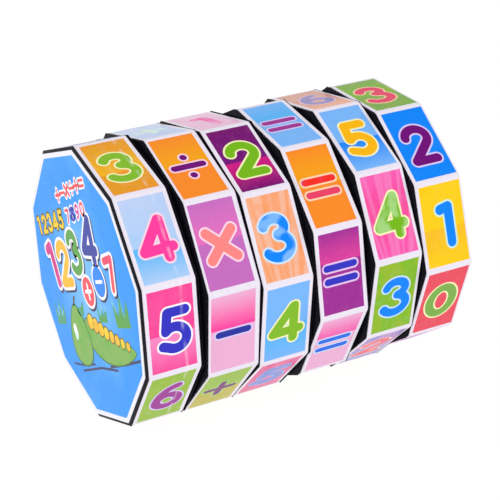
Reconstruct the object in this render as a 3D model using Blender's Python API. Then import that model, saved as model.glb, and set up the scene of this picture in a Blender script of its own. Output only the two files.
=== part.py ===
"""Rotating arithmetic cylinder: six ten-sided number rings that turn on one spindle.

The cylinder lies on its side. +X runs along the spindle, from the decorated end to the
plain end, +Z is up, and the origin is on the spindle's axis at half the overall length.
All sizes are in metres.

Every ring is the same moulded cup: a web on its left, an open mouth on its right, and a
hub in the middle that turns on the spindle. The spindle's head is sunk in the first ring
and keyed to it. A washer and a screw keep the last ring on, and a cap closes its mouth.
"""
import math

import bmesh
import bpy

# ---- Rings ---------------------------------------------------------------------------
SIDES = 10                    # flats on every ring
CORNER_RADIUS = 0.0325        # axis to a ring's outer corner
RING_WIDTH = 0.01295          # a ring's size along the axis
WALL = 0.0016                 # outer wall, under the label's recess
WEB = 0.0016                  # closed side of the cup
HUB_WALL = 0.00175            # round the seat of the spindle's head
RIM = 0.00015                 # black edge left standing on both sides of the label

# How the rings stand on the spindle when the toy is put down: the free play between one
# ring and the next, and each ring's turn, as the angle from straight up to its topmost
# corner, positive towards +Y.
RING_GAPS = (0.00085, 0.00025, 0.00040, 0.00095, 0.00035)
RING_TURNS_DEG = (5.95, -2.08, -4.60, 11.15, -6.91, -16.44)
RING_NAMES = ("digits", "operators", "digits", "equals", "tens", "units")

# ---- Wrap labels ---------------------------------------------------------------------
LABEL_THICKNESS = 0.00020
GLUE_GAP = 0.00005            # left between a label and what it is stuck to
LABEL_SUNK = 0.00005          # the label's face lies this far under the rims
LABEL_SLACK = 0.00060         # how much wider the recess is than the label
LABEL_SIDE = (0, 1, 0, 1, 1, 1)   # 0: label against the left rim, 1: against the right one

# ---- End stickers --------------------------------------------------------------------
STICKER_MARGIN = 0.00072      # from the sticker's flats to the ring's, when centred
STICKER_SLIP = (0.00060, -0.00030)    # how far the left sticker is off centre, in Y and Z

# ---- Spindle, washer and screw -------------------------------------------------------
SPINDLE_RADIUS = 0.0040
RUNNING_CLEARANCE = 0.00010   # radial, between the spindle and a ring's bore
HEAD_RADIUS = 0.0060
HEAD_THICKNESS = 0.00115
HEAD_SUNK = 0.00010           # the head's face lies this far under the ring's left face
SEAT_CLEARANCE = 0.00025      # radial, round the head
SEAT_GAP = 0.00005            # under the head
KEY_WIDTH = 0.0020
KEY_INSET = 0.0005            # from a key's outer end to the head's edge
KEY_DEPTH = 0.0015
KEY_CLEARANCE = 0.00015
END_PLAY = 0.0003             # from the last hub to the washer
WASHER_RADIUS = 0.0065
WASHER_THICKNESS = 0.0007
WASHER_GAP = 0.00005          # on each side of the washer
SCREW_RADIUS = 0.0013
SCREW_HEAD_RADIUS = 0.0032
SCREW_HEAD_HEIGHT = 0.0016
SCREW_HEADROOM = 0.0007       # from the screw's head to the cap
SCREW_REACH = 0.0090          # length of the thread inside the spindle
SCREW_TIP = 0.0008
SCREW_CLEARANCE = 0.00010
DRIVER_SLOT = 0.0007
DRIVER_SLOT_DEPTH = 0.0009
DRIVER_SLOT_REACH = 0.0021

# ---- Right end cap -------------------------------------------------------------------
CAP_THICKNESS = 0.0010
CAP_SKIRT = 0.0030
CAP_SKIRT_WALL = 0.0010
CAP_CLEARANCE = 0.00010

# ---- Worked out from the sizes above -------------------------------------------------
FLAT_RADIUS = CORNER_RADIUS * math.cos(math.pi / SIDES)
RECESS_DEPTH = LABEL_SUNK + LABEL_THICKNESS + GLUE_GAP
RECESS_WIDTH = RING_WIDTH - 2 * RIM
LABEL_WIDTH = RECESS_WIDTH - LABEL_SLACK
INNER_FLAT_RADIUS = FLAT_RADIUS - RECESS_DEPTH - WALL
STACK_LENGTH = len(RING_NAMES) * RING_WIDTH + sum(RING_GAPS)
BORE_RADIUS = SPINDLE_RADIUS + RUNNING_CLEARANCE
SEAT_RADIUS = HEAD_RADIUS + SEAT_CLEARANCE
SEAT_DEPTH = HEAD_SUNK + HEAD_THICKNESS + SEAT_GAP
KEY_REACH = HEAD_RADIUS - KEY_INSET
HUB_RADIUS = SEAT_RADIUS + HUB_WALL
FASTENER_STACK = END_PLAY + WASHER_THICKNESS + WASHER_GAP + SCREW_HEAD_HEIGHT
HUB_LENGTH = RING_WIDTH - CAP_THICKNESS - SCREW_HEADROOM - FASTENER_STACK

LOOP_POINTS = 2 * SIDES       # a ring's loops: corners and mid-flats
ROUND_STEPS = 40              # the spindle and the washer
SCREW_STEPS = 24


def clear_objects():
    """Remove whatever the file holds."""
    for old in list(bpy.data.objects):
        bpy.data.objects.remove(old, do_unlink=True)


def make_material(name, colour, roughness, metallic=0.0, coat=0.0):
    """A Principled material with one colour."""
    material = bpy.data.materials.new(name)
    material.use_nodes = True
    shader = material.node_tree.nodes["Principled BSDF"]
    shader.inputs["Base Color"].default_value = (*colour, 1.0)
    shader.inputs["Roughness"].default_value = roughness
    shader.inputs["Metallic"].default_value = metallic
    shader.inputs["Coat Weight"].default_value = coat
    material.diffuse_color = (*colour, 1.0)
    return material


def flats_loop(x, flat_radius, points=LOOP_POINTS):
    """A ten-sided loop across the axis, with a corner straight up, in the ring's frame."""
    loop = []
    for step in range(points):
        angle = 2 * math.pi * step / points
        from_flat = (angle % (2 * math.pi / SIDES)) - math.pi / SIDES
        radius = flat_radius / math.cos(from_flat)
        loop.append((x, radius * math.sin(angle), radius * math.cos(angle)))
    return loop


def round_loop(x, radius, points=LOOP_POINTS):
    """A round loop across the axis, with a point straight up."""
    turns = (2 * math.pi * step / points for step in range(points))
    return [(x, radius * math.sin(turn), radius * math.cos(turn)) for turn in turns]


def bore_loop(x, radius, points=LOOP_POINTS):
    """A round loop whose flats, not its points, stand at the radius: for a hole."""
    return round_loop(x, radius / math.cos(math.pi / points), points)


def skin_loops(name, loops, material, closed=False):
    """A solid skinned over loops of equal length.

    A closed solid joins its last loop to its first, as a tube bent into a ring. An open
    one is filled across its first and last loops.
    """
    bm = bmesh.new()
    rings = []
    for loop in loops:
        rings.append([bm.verts.new(point) for point in loop])
    pairs = list(zip(rings, rings[1:]))
    if closed:
        pairs.append((rings[-1], rings[0]))
    else:
        bm.faces.new(rings[0])
        bm.faces.new(rings[-1])
    for first, second in pairs:
        for step in range(len(first)):
            after = (step + 1) % len(first)
            bm.faces.new((first[step], first[after], second[after], second[step]))
    bmesh.ops.recalc_face_normals(bm, faces=bm.faces)
    mesh = bpy.data.meshes.new(name)
    bm.to_mesh(mesh)
    bm.free()
    mesh.materials.append(material)
    obj = bpy.data.objects.new(name, mesh)
    bpy.context.scene.collection.objects.link(obj)
    return obj


def box_cutter(name, low, high):
    """A box that only shapes another piece, and isn't a piece itself."""
    bm = bmesh.new()
    bmesh.ops.create_cube(bm, size=1.0)
    for vert in bm.verts:
        for axis in range(3):
            vert.co[axis] = high[axis] if vert.co[axis] > 0 else low[axis]
    mesh = bpy.data.meshes.new(name)
    bm.to_mesh(mesh)
    bm.free()
    obj = bpy.data.objects.new(name, mesh)
    bpy.context.scene.collection.objects.link(obj)
    obj.display_type = 'WIRE'
    obj.hide_render = True
    return obj


def add_boolean(target, other, operation):
    """Join a cutter to a piece, or cut it out of the piece."""
    other.parent = target
    boolean = target.modifiers.new(other.name, 'BOOLEAN')
    boolean.operation = operation
    boolean.object = other
    boolean.solver = 'EXACT'


def smooth_round(obj):
    """Shade a turned piece smooth, with its edges kept sharp."""
    obj.data.shade_smooth()
    obj.data.set_sharp_from_angle(angle=math.radians(30))


def put_on_axis(obj, x, turn_deg):
    """Place a piece on the spindle's axis, turned from +Z towards +Y."""
    obj.location = (x, 0.0, 0.0)
    obj.rotation_euler = (-math.radians(turn_deg), 0.0, 0.0)


def ring_lefts():
    """Where each ring's left face stands along the axis."""
    lefts = [-STACK_LENGTH / 2]
    for gap in RING_GAPS:
        lefts.append(lefts[-1] + RING_WIDTH + gap)
    return lefts


def make_ring(name, material):
    """One moulded cup, its left face at x = 0."""
    floor = FLAT_RADIUS - RECESS_DEPTH
    right = RING_WIDTH
    loops = [
        flats_loop(0.0, FLAT_RADIUS),
        flats_loop(RIM, FLAT_RADIUS),
        flats_loop(RIM, floor),
        flats_loop(right - RIM, floor),
        flats_loop(right - RIM, FLAT_RADIUS),
        flats_loop(right, FLAT_RADIUS),
        flats_loop(right, INNER_FLAT_RADIUS),
        flats_loop(WEB, INNER_FLAT_RADIUS),
        round_loop(WEB, HUB_RADIUS),
        round_loop(HUB_LENGTH, HUB_RADIUS),
        bore_loop(HUB_LENGTH, BORE_RADIUS),
        bore_loop(SEAT_DEPTH, BORE_RADIUS),
        bore_loop(SEAT_DEPTH, SEAT_RADIUS),
        bore_loop(0.0, SEAT_RADIUS),
    ]
    return skin_loops(name, loops, material, closed=True)


def make_wrap(name, side, material):
    """The printed strip round one ring, in the recess between its rims."""
    outer = FLAT_RADIUS - LABEL_SUNK
    inner = outer - LABEL_THICKNESS
    left = RIM + GLUE_GAP + side * (LABEL_SLACK - 2 * GLUE_GAP)
    right = left + LABEL_WIDTH
    loops = [
        flats_loop(left, outer, SIDES),
        flats_loop(right, outer, SIDES),
        flats_loop(right, inner, SIDES),
        flats_loop(left, inner, SIDES),
    ]
    return skin_loops(name, loops, material, closed=True)


def make_sticker(name, outward, material):
    """A ten-sided sticker on an end face; outward is -1 at the left and 1 at the right."""
    flat_radius = FLAT_RADIUS - STICKER_MARGIN
    loops = [
        flats_loop(outward * GLUE_GAP, flat_radius, SIDES),
        flats_loop(outward * (GLUE_GAP + LABEL_THICKNESS), flat_radius, SIDES),
    ]
    return skin_loops(name, loops, material)


def key_box(name, side, clearance):
    """One of the two keys under the spindle's head, or its slot when given clearance."""
    half = KEY_WIDTH / 2 + clearance
    inner = SPINDLE_RADIUS / 2
    outer = KEY_REACH + clearance
    low_y = inner if side > 0 else -outer
    high_y = outer if side > 0 else -inner
    low_x = HEAD_SUNK + HEAD_THICKNESS / 2
    high_x = SEAT_DEPTH + KEY_DEPTH + clearance
    return box_cutter(name, (low_x, low_y, -half), (high_x, high_y, half))


def make_spindle(name, left, washer_x, material):
    """The spindle: flat head, two keys, plain shaft, and a blind hole for the screw."""
    shoulder = washer_x - WASHER_GAP
    under_head = left + HEAD_SUNK + HEAD_THICKNESS
    hole = SCREW_RADIUS + SCREW_CLEARANCE
    hole_end = shoulder - SCREW_REACH - SCREW_TIP
    loops = [
        round_loop(left + HEAD_SUNK, HEAD_RADIUS, ROUND_STEPS),
        round_loop(under_head, HEAD_RADIUS, ROUND_STEPS),
        round_loop(under_head, SPINDLE_RADIUS, ROUND_STEPS),
        round_loop(shoulder, SPINDLE_RADIUS, ROUND_STEPS),
        bore_loop(shoulder, hole, ROUND_STEPS),
        bore_loop(hole_end, hole, ROUND_STEPS),
    ]
    return skin_loops(name, loops, material)


def make_washer(name, x, material):
    """A flat steel washer."""
    hole = SCREW_RADIUS + SCREW_CLEARANCE
    right = x + WASHER_THICKNESS
    loops = [
        round_loop(x, WASHER_RADIUS, ROUND_STEPS),
        round_loop(right, WASHER_RADIUS, ROUND_STEPS),
        bore_loop(right, hole, ROUND_STEPS),
        bore_loop(x, hole, ROUND_STEPS),
    ]
    return skin_loops(name, loops, material, closed=True)


def make_screw(name, x, tip, material):
    """A round-headed screw, its head's underside at x and its point at tip."""
    top = x + SCREW_HEAD_HEIGHT
    crown = SCREW_HEAD_HEIGHT / 3
    loops = [
        round_loop(top, SCREW_HEAD_RADIUS - crown, SCREW_STEPS),
        round_loop(top - crown, SCREW_HEAD_RADIUS, SCREW_STEPS),
        round_loop(x, SCREW_HEAD_RADIUS, SCREW_STEPS),
        round_loop(x, SCREW_RADIUS, SCREW_STEPS),
        round_loop(tip + SCREW_TIP, SCREW_RADIUS, SCREW_STEPS),
        round_loop(tip, SCREW_RADIUS / 3, SCREW_STEPS),
    ]
    screw = skin_loops(name, loops, material)
    bottom = top - DRIVER_SLOT_DEPTH
    above = top + DRIVER_SLOT
    across = DRIVER_SLOT / 2
    reach = DRIVER_SLOT_REACH
    upright = box_cutter(name + "_slot_z", (bottom, -across, -reach), (above, across, reach))
    level = box_cutter(name + "_slot_y", (bottom, -reach, -across), (above, reach, across))
    add_boolean(screw, upright, 'DIFFERENCE')
    add_boolean(screw, level, 'DIFFERENCE')
    return screw


def make_cap(name, material):
    """The cap that closes the last ring: a plate with a skirt, its face at x = 0."""
    outer = INNER_FLAT_RADIUS - CAP_CLEARANCE
    inner = outer - CAP_SKIRT_WALL
    skirt_end = -CAP_THICKNESS - CAP_SKIRT
    loops = [
        flats_loop(0.0, outer, SIDES),
        flats_loop(skirt_end, outer, SIDES),
        flats_loop(skirt_end, inner, SIDES),
        flats_loop(-CAP_THICKNESS, inner, SIDES),
    ]
    return skin_loops(name, loops, material)


def main():
    clear_objects()
    black = make_material("black_plastic", (0.012, 0.011, 0.016), 0.28, coat=0.2)
    print_wrap = make_material("printed_wrap", (0.80, 0.76, 0.86), 0.25, coat=0.6)
    print_end = make_material("printed_sticker", (0.10, 0.45, 0.95), 0.25, coat=0.6)
    white = make_material("spindle_plastic", (0.78, 0.78, 0.76), 0.45)
    steel = make_material("steel", (0.60, 0.60, 0.62), 0.30, metallic=1.0)

    lefts = ring_lefts()
    first_left = lefts[0]
    last_left = lefts[-1]
    last_right = last_left + RING_WIDTH

    rings = []
    for number, kind in enumerate(RING_NAMES, start=1):
        left = lefts[number - 1]
        turn = RING_TURNS_DEG[number - 1]
        ring = make_ring(f"ring_{number}_{kind}", black)
        put_on_axis(ring, left, turn)
        rings.append(ring)
        wrap = make_wrap(f"wrap_{number}_{kind}", LABEL_SIDE[number - 1], print_wrap)
        put_on_axis(wrap, left, turn)

    # The left sticker was stuck on a little off centre.
    left_sticker = make_sticker("left_end_sticker", -1, print_end)
    put_on_axis(left_sticker, first_left, RING_TURNS_DEG[0])
    left_sticker.location.y = STICKER_SLIP[0]
    left_sticker.location.z = STICKER_SLIP[1]

    cap = make_cap("right_end_cap", black)
    put_on_axis(cap, last_right, RING_TURNS_DEG[-1])
    right_sticker = make_sticker("right_end_sticker", 1, print_end)
    put_on_axis(right_sticker, last_right, RING_TURNS_DEG[-1])

    washer_x = last_left + HUB_LENGTH + END_PLAY
    head_x = washer_x + WASHER_THICKNESS + WASHER_GAP
    spindle = make_spindle("spindle", 0.0, washer_x - first_left, white)
    put_on_axis(spindle, first_left, RING_TURNS_DEG[0])
    smooth_round(spindle)
    for side, word in ((1, "back"), (-1, "front")):
        add_boolean(rings[0], key_box(f"key_slot_{word}", side, KEY_CLEARANCE), 'DIFFERENCE')
        add_boolean(spindle, key_box(f"key_{word}", side, 0.0), 'UNION')

    washer = make_washer("spindle_washer", washer_x, steel)
    screw = make_screw("spindle_screw", head_x, washer_x - WASHER_GAP - SCREW_REACH, steel)
    smooth_round(washer)
    smooth_round(screw)


main()
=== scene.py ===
"""Looks of the rotating arithmetic cylinder: six ten-sided rings on one spindle.

The packed model gives every size and place that matters. Each moulded ring, each printed
wrap label and both end stickers are modelled here again in fine detail round it, and the
spindle, washer, screw and cap keep their own shapes under better finishes.

+X runs along the spindle from the decorated end, +Z is up, and all sizes are in metres
unless a name ends in _mm.
"""
import math

import bmesh
import bpy
from bpy.props import FloatProperty, FloatVectorProperty, IntProperty, PointerProperty
from mathutils import Matrix, Vector


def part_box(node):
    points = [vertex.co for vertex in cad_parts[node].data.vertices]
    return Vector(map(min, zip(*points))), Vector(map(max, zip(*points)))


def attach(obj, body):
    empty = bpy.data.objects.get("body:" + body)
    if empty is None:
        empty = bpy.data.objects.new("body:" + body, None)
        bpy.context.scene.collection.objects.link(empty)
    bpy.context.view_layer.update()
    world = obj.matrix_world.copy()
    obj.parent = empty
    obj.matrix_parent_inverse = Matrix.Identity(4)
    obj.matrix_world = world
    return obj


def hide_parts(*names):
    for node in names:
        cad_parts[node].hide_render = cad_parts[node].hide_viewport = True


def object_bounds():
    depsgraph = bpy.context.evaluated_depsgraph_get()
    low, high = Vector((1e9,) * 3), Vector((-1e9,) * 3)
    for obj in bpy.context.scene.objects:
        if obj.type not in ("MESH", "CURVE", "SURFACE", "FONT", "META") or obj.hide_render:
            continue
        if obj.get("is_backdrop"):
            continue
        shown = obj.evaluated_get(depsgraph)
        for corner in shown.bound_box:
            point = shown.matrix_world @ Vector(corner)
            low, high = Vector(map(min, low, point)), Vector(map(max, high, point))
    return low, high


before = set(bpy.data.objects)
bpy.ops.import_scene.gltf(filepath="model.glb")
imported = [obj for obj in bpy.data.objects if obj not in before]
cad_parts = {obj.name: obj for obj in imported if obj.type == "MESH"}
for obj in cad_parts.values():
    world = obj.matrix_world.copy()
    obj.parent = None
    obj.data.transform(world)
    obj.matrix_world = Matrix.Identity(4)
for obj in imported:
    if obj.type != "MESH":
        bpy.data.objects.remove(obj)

bl_info = {
    "name": "Arithmetic Cylinder",
    "version": (1, 0, 0),
    "blender": (4, 5, 0),
    "location": "View3D > Sidebar > Cylinder",
    "description": "Builds the rings, labels, numerals and end stickers of a number toy",
    "category": "Object",
}

MM = 0.001
NEAR = MM / 100                           # two places closer than this are the same
SIDES = 10
STEP = math.radians(360 / SIDES)          # from one flat of a ring to the next
HALF_STEP = STEP / 2

RINGS = ("ring_1_digits", "ring_2_operators", "ring_3_digits",
         "ring_4_equals", "ring_5_tens", "ring_6_units")
WRAPS = ("wrap_1_digits", "wrap_2_operators", "wrap_3_digits",
         "wrap_4_equals", "wrap_5_tens", "wrap_6_units")
ROOT_BODY = "left_ring_and_spindle"

# ---- Colours ---------------------------------------------------------------------------

# Printing inks, as red, green and blue from 0 to 255.
INKS = {
    "lime": (118, 186, 18), "leaf": (132, 190, 40), "pale_green": (165, 215, 125),
    "cream": (250, 247, 190), "blush": (255, 214, 232), "peach": (255, 214, 180),
    "lilac": (222, 205, 250), "pink_lilac": (234, 196, 240), "ice": (205, 232, 255),
    "mint": (206, 240, 225), "white": (252, 250, 255), "hot_pink": (255, 62, 160),
    "neon_pink": (250, 72, 154), "cerise": (226, 84, 140), "rose": (250, 88, 178),
    "candy": (247, 138, 200), "pale_pink": (240, 178, 216), "powder": (242, 192, 222),
    "brick": (238, 78, 96), "coral": (252, 74, 88), "red": (252, 44, 34),
    "salmon": (255, 136, 134), "raspberry": (236, 66, 104), "indigo": (52, 52, 196),
    "navy": (40, 52, 160), "royal": (20, 104, 236), "azure": (0, 134, 252),
    "sky": (84, 184, 250), "haze": (176, 208, 248), "baby_blue": (122, 184, 252),
    "pale_blue": (192, 210, 246), "periwinkle": (128, 138, 216), "plum": (112, 0, 120),
    "grape": (118, 2, 108), "violet": (160, 46, 150), "magenta": (214, 16, 132),
    "fuchsia": (222, 62, 158), "orchid": (198, 108, 192), "bright_orchid": (230, 112, 192),
    "amber": (255, 186, 0), "sunflower": (254, 208, 14), "marigold": (250, 192, 34),
    "honey": (246, 184, 20), "fire": (232, 158, 28), "orange": (252, 140, 36),
    "mango": (248, 168, 8), "apricot": (248, 184, 154), "clay": (222, 160, 140),
    "mustard": (196, 182, 44), "grass": (128, 178, 76), "moss": (156, 192, 58),
    "fern": (86, 162, 60), "sea_green": (70, 160, 120), "teal_tip": (132, 206, 226),
    "olive": (92, 84, 24), "shadow": (52, 48, 92), "mauve": (150, 140, 200),
    "pod": (112, 178, 60), "pod_dark": (58, 110, 46),
}

# The printed ground of a panel: its colour at the top edge, just above its horizon, just
# below it and at the bottom edge, the horizon's height over the middle in mm, and how
# strongly it is blotched and crossed by pale rays.
GROUNDS = {
    "mango_fire": ("fire", "honey", "fire", "fire", -2.0, 0.9, 0.3),
    # blue_horizon's pale top and the paler haze band above its horizon are partly print and
    # partly a painted sheen on the film.
    "blue_horizon": ("pale_blue", "haze", "sky", "haze", -1.4, 0.2, 0.0),
    "pink_horizon": ("neon_pink", "neon_pink", "candy", "neon_pink", -1.0, 0.2, 0.0),
    "meadow": ("moss", "moss", "moss", "moss", 0.0, 0.8, 0.0),
    "orange_dusk": ("orange", "mango", "orange", "orange", 0.2, 0.1, 0.0),
    "orchid_dusk": ("orchid", "bright_orchid", "orchid", "orchid", 0.6, 0.2, 0.0),
    "rose_dusk": ("pale_pink", "hot_pink", "pale_pink", "pale_pink", 0.9, 0.15, 0.0),
    "olive_dusk": ("moss", "moss", "mustard", "mustard", 0.0, 0.4, 0.0),
    "grape_glow": ("grape", "plum", "magenta", "grape", -0.8, 0.3, 0.0),
    "apricot_split": ("apricot", "apricot", "apricot", "apricot", 1.0, 0.8, 0.9),
    "sky_horizon": ("baby_blue", "baby_blue", "sky", "baby_blue", -1.0, 0.15, 0.0),
    "crimson": ("cerise", "cerise", "cerise", "cerise", 0.0, 0.8, 0.4),
    "sky_band": ("baby_blue", "sky", "baby_blue", "baby_blue", 2.6, 0.15, 0.0),
    "violet_dusk": ("violet", "fuchsia", "violet", "violet", 2.4, 0.2, 0.0),
    "candy_dusk": ("pale_pink", "rose", "pale_pink", "pale_pink", 2.6, 0.2, 0.0),
    "clay_wash": ("clay", "clay", "clay", "apricot", 0.0, 0.6, 0.0),
    "azure_horizon": ("baby_blue", "baby_blue", "azure", "baby_blue", -0.5, 0.12, 0.0),
    "pink_rays": ("rose", "neon_pink", "neon_pink", "rose", 0.0, 0.3, 1.0),
    "lime_wash": ("leaf", "leaf", "leaf", "leaf", 0.0, 0.7, 0.0),
    "periwinkle_wash": ("periwinkle", "orchid", "periwinkle", "periwinkle", 0.0, 0.8, 0.3),
    "green_wash": ("grass", "leaf", "grass", "grass", 0.0, 0.6, 0.0),
    "azure_plain": ("azure", "azure", "azure", "azure", 0.0, 0.1, 0.0),
    "sun_horizon": ("sunflower", "sunflower", "marigold", "sunflower", -0.8, 0.3, 0.0),
    "lilac_wash": ("pale_blue", "pale_blue", "pale_blue", "pale_blue", 0.0, 0.2, 0.0),
    "powder_wash": ("powder", "powder", "powder", "powder", 0.0, 0.2, 0.0),
    "coral_wash": ("brick", "brick", "brick", "brick", 0.0, 0.5, 0.0),
}

# Every ring's ten panels, from the top down over the front: sign, ink, second ink of a
# two-tone sign, outline and ground.
PANELS = (
    (("3", "leaf", "leaf", "cream", "mango_fire"),
     ("4", "hot_pink", "hot_pink", "blush", "blue_horizon"),
     ("5", "indigo", "indigo", "white", "pink_horizon"),
     ("6", "violet", "violet", "lilac", "meadow"),
     ("7", "azure", "azure", "ice", "orange_dusk"),
     ("8", "coral", "red", "peach", "sky_horizon"),
     ("9", "lime", "leaf", "cream", "grape_glow"),
     ("0", "amber", "amber", "cream", "azure_horizon"),
     ("1", "indigo", "indigo", "white", "rose_dusk"),
     ("2", "plum", "grape", "lilac", "lilac_wash")),
    (("divide", "plum", "plum", "blush", "orange_dusk"),
     ("times", "salmon", "salmon", "blush", "orchid_dusk"),
     ("minus", "navy", "navy", "lilac", "rose_dusk"),
     ("plus", "grape", "grape", "pale_green", "olive_dusk"),
     ("divide", "azure", "azure", "ice", "sun_horizon"),
     ("times", "indigo", "navy", "white", "pink_rays"),
     ("minus", "coral", "red", "peach", "lime_wash"),
     ("plus", "amber", "amber", "cream", "azure_plain"),
     ("times", "plum", "grape", "lilac", "sky_horizon"),
     ("plus", "mint", "mint", "pale_blue", "lilac_wash")),
    (("2", "lime", "lime", "cream", "grape_glow"),
     ("3", "baby_blue", "azure", "ice", "apricot_split"),
     ("4", "leaf", "leaf", "cream", "sky_horizon"),
     ("5", "periwinkle", "periwinkle", "baby_blue", "crimson"),
     ("6", "indigo", "navy", "white", "sun_horizon"),
     ("7", "violet", "grape", "lilac", "meadow"),
     ("8", "azure", "azure", "ice", "orange_dusk"),
     ("9", "coral", "red", "peach", "azure_plain"),
     ("0", "plum", "plum", "blush", "mango_fire"),
     ("1", "candy", "rose", "powder", "powder_wash")),
    (("equals", "violet", "violet", "lilac", "sky_band"),
     ("equals", "red", "raspberry", "peach", "orange_dusk"),
     ("equals", "indigo", "indigo", "pink_lilac", "violet_dusk"),
     ("equals", "royal", "royal", "ice", "candy_dusk"),
     ("equals", "plum", "grape", "lilac", "lime_wash"),
     ("equals", "hot_pink", "rose", "blush", "blue_horizon"),
     ("equals", "indigo", "navy", "white", "sun_horizon"),
     ("equals", "lime", "leaf", "cream", "grape_glow"),
     ("equals", "azure", "azure", "ice", "coral_wash"),
     ("equals", "violet", "grape", "lilac", "meadow")),
    (("5", "amber", "amber", "cream", "azure_horizon"),
     ("4", "pale_green", "lime", "cream", "pink_rays"),
     ("3", "azure", "azure", "ice", "lime_wash"),
     ("2", "coral", "raspberry", "peach", "periwinkle_wash"),
     ("1", "plum", "grape", "lilac", "sun_horizon"),
     ("0", "leaf", "lime", "cream", "violet_dusk"),
     ("9", "hot_pink", "rose", "blush", "blue_horizon"),
     ("8", "indigo", "navy", "white", "orange_dusk"),
     ("7", "red", "coral", "peach", "azure_plain"),
     ("6", "mauve", "mauve", "powder", "clay_wash")),
    (("2", "plum", "plum", "lilac", "azure_plain"),
     ("1", "azure", "azure", "mint", "sun_horizon"),
     ("0", "grass", "grass", "cream", "coral_wash"),
     ("9", "indigo", "navy", "white", "rose_dusk"),
     ("8", "amber", "amber", "cream", "azure_horizon"),
     ("7", "coral", "red", "peach", "green_wash"),
     ("6", "plum", "grape", "lilac", "orange_dusk"),
     ("5", "azure", "royal", "ice", "apricot_split"),
     ("4", "hot_pink", "rose", "blush", "sky_horizon"),
     ("3", "raspberry", "raspberry", "peach", "green_wash")),
)


def paint(red, green, blue):
    """A colour given from 0 to 255, as Blender's shaders want it."""
    def linear(part):
        part /= 255
        return part / 12.92 if part <= 0.04045 else ((part + 0.055) / 1.055) ** 2.4
    return (linear(red), linear(green), linear(blue))


# ---- Sizes and colours that a user may change ------------------------------------------

def length(name, description, default_mm):
    """A length property, given in millimetres."""
    return FloatProperty(name=name, description=description, default=default_mm * MM,
                         min=0.0, subtype="DISTANCE", unit="LENGTH", precision=5)


def turn_angle(name, description, degrees):
    """An angle property, given in degrees."""
    return FloatProperty(name=name, description=description, default=math.radians(degrees),
                         subtype="ANGLE", unit="ROTATION")


def tint(name, description, colour):
    """A colour property."""
    return FloatVectorProperty(name=name, description=description, default=colour,
                               subtype="COLOR", min=0.0, max=1.0)


class MouldingSizes(bpy.types.PropertyGroup):
    """The moulded rings."""
    wall: length("Wall", "Outer wall under the label's recess", 1.6)
    web: length("Web", "Closed side of the cup", 1.6)
    rim: length("Rim", "Black edge on both sides of the label", 0.15)
    recess: length("Recess", "Depth of the label's recess", 0.3)
    hub_radius: length("Hub radius", "Outside of the hub", 8.0)
    hub_length: length("Hub length", "Hub from the ring's left face", 8.6)
    bore_radius: length("Bore radius", "Hole that turns on the spindle", 4.1)
    seat_radius: length("Seat radius", "Counterbore for the spindle's head", 6.25)
    seat_depth: length("Seat depth", "Depth of the counterbore", 1.3)
    edge_round: length("Edge round", "Rounding of the rims", 0.06)
    mouth_round: length("Mouth round", "Rounding inside the cup's mouth", 0.3)
    key_width: length("Key width", "Slot for a key of the spindle", 2.3)
    key_reach: length("Key reach", "Axis to the slot's outer end", 5.65)
    key_depth: length("Key depth", "Slot's end from the left face", 2.95)


class LabelSizes(bpy.types.PropertyGroup):
    """The printed wraps."""
    thickness: length("Thickness", "Paper and laminate", 0.19)
    sunk: length("Sunk", "Label's face under the packed one, to leave room for ink", 0.012)
    fold_round: length("Fold round", "Rounding where the label folds", 0.45)
    print_width: length("Print width", "Coloured panel along the axis", 10.3)
    print_height: length("Print height", "Coloured panel from fold to fold", 18.4)
    ink_step: length("Ink step", "How far each layer of ink stands up", 0.010)
    outline: length("Outline", "Pale line round each sign", 0.42)


class StickerSizes(bpy.types.PropertyGroup):
    """The two end stickers."""
    sunk: length("Sunk", "Sticker's face under the packed one, to leave room for ink", 0.05)
    border: length("Border", "White edge round the printed ground", 1.1)
    edge_round: length("Edge round", "Rounding of the cut edge", 0.04)
    ink_step: length("Ink step", "How far each layer of ink stands up", 0.006)
    tilt: turn_angle("Tilt", "Turn of the left sticker's picture", 27.0)


class StudioSizes(bpy.types.PropertyGroup):
    """Floor, light and camera."""
    azimuth: turn_angle("Azimuth", "Camera's turn from straight in front", 28.477)
    elevation: turn_angle("Elevation", "Camera's height as an angle", 27.557)
    distance: length("Distance", "Camera to the point it looks at", 347.6)
    lens_mm: FloatProperty(name="Lens", description="Focal length", default=108.0)
    floor_size: length("Floor", "Side of the floor", 6000.0)
    sky: FloatProperty(name="Sky", description="Strength of the white surroundings",
                       default=0.70)


def ink_property(name):
    """A colour property for one of the inks."""
    words = name.replace("_", " ")
    return tint(words.capitalize(), f"The {words} ink", paint(*INKS[name]))


InkColours = type("InkColours", (bpy.types.PropertyGroup,), {
    "__doc__": "The printing inks.",
    "__annotations__": {name: ink_property(name) for name in INKS},
})


class PlasticColours(bpy.types.PropertyGroup):
    """Plastics, paper and metal."""
    black: tint("Black", "Ring plastic", paint(15, 14, 22))
    paper: tint("Paper", "Label's unprinted paper", paint(238, 231, 244))
    spindle: tint("Spindle", "Spindle plastic", paint(226, 225, 220))
    steel: tint("Steel", "Washer and screw", paint(200, 200, 205))


class CylinderSettings(bpy.types.PropertyGroup):
    """All of the toy's settings."""
    moulding: PointerProperty(type=MouldingSizes)
    label: PointerProperty(type=LabelSizes)
    sticker: PointerProperty(type=StickerSizes)
    studio: PointerProperty(type=StudioSizes)
    inks: PointerProperty(type=InkColours)
    plastics: PointerProperty(type=PlasticColours)
    cap_steps: IntProperty(name="Cap steps", description="Points on a stroke's round end",
                           default=12, min=4, max=48)


def settings():
    """The toy's settings in this scene."""
    return bpy.context.scene.arithmetic_cylinder


def solid(colour):
    """A colour with full alpha, as a colour socket takes it."""
    return (*colour, 1.0)


def ink(name):
    """An ink's colour with its alpha."""
    return solid(getattr(settings().inks, name))


# ---- Shader maths ----------------------------------------------------------------------

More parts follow.
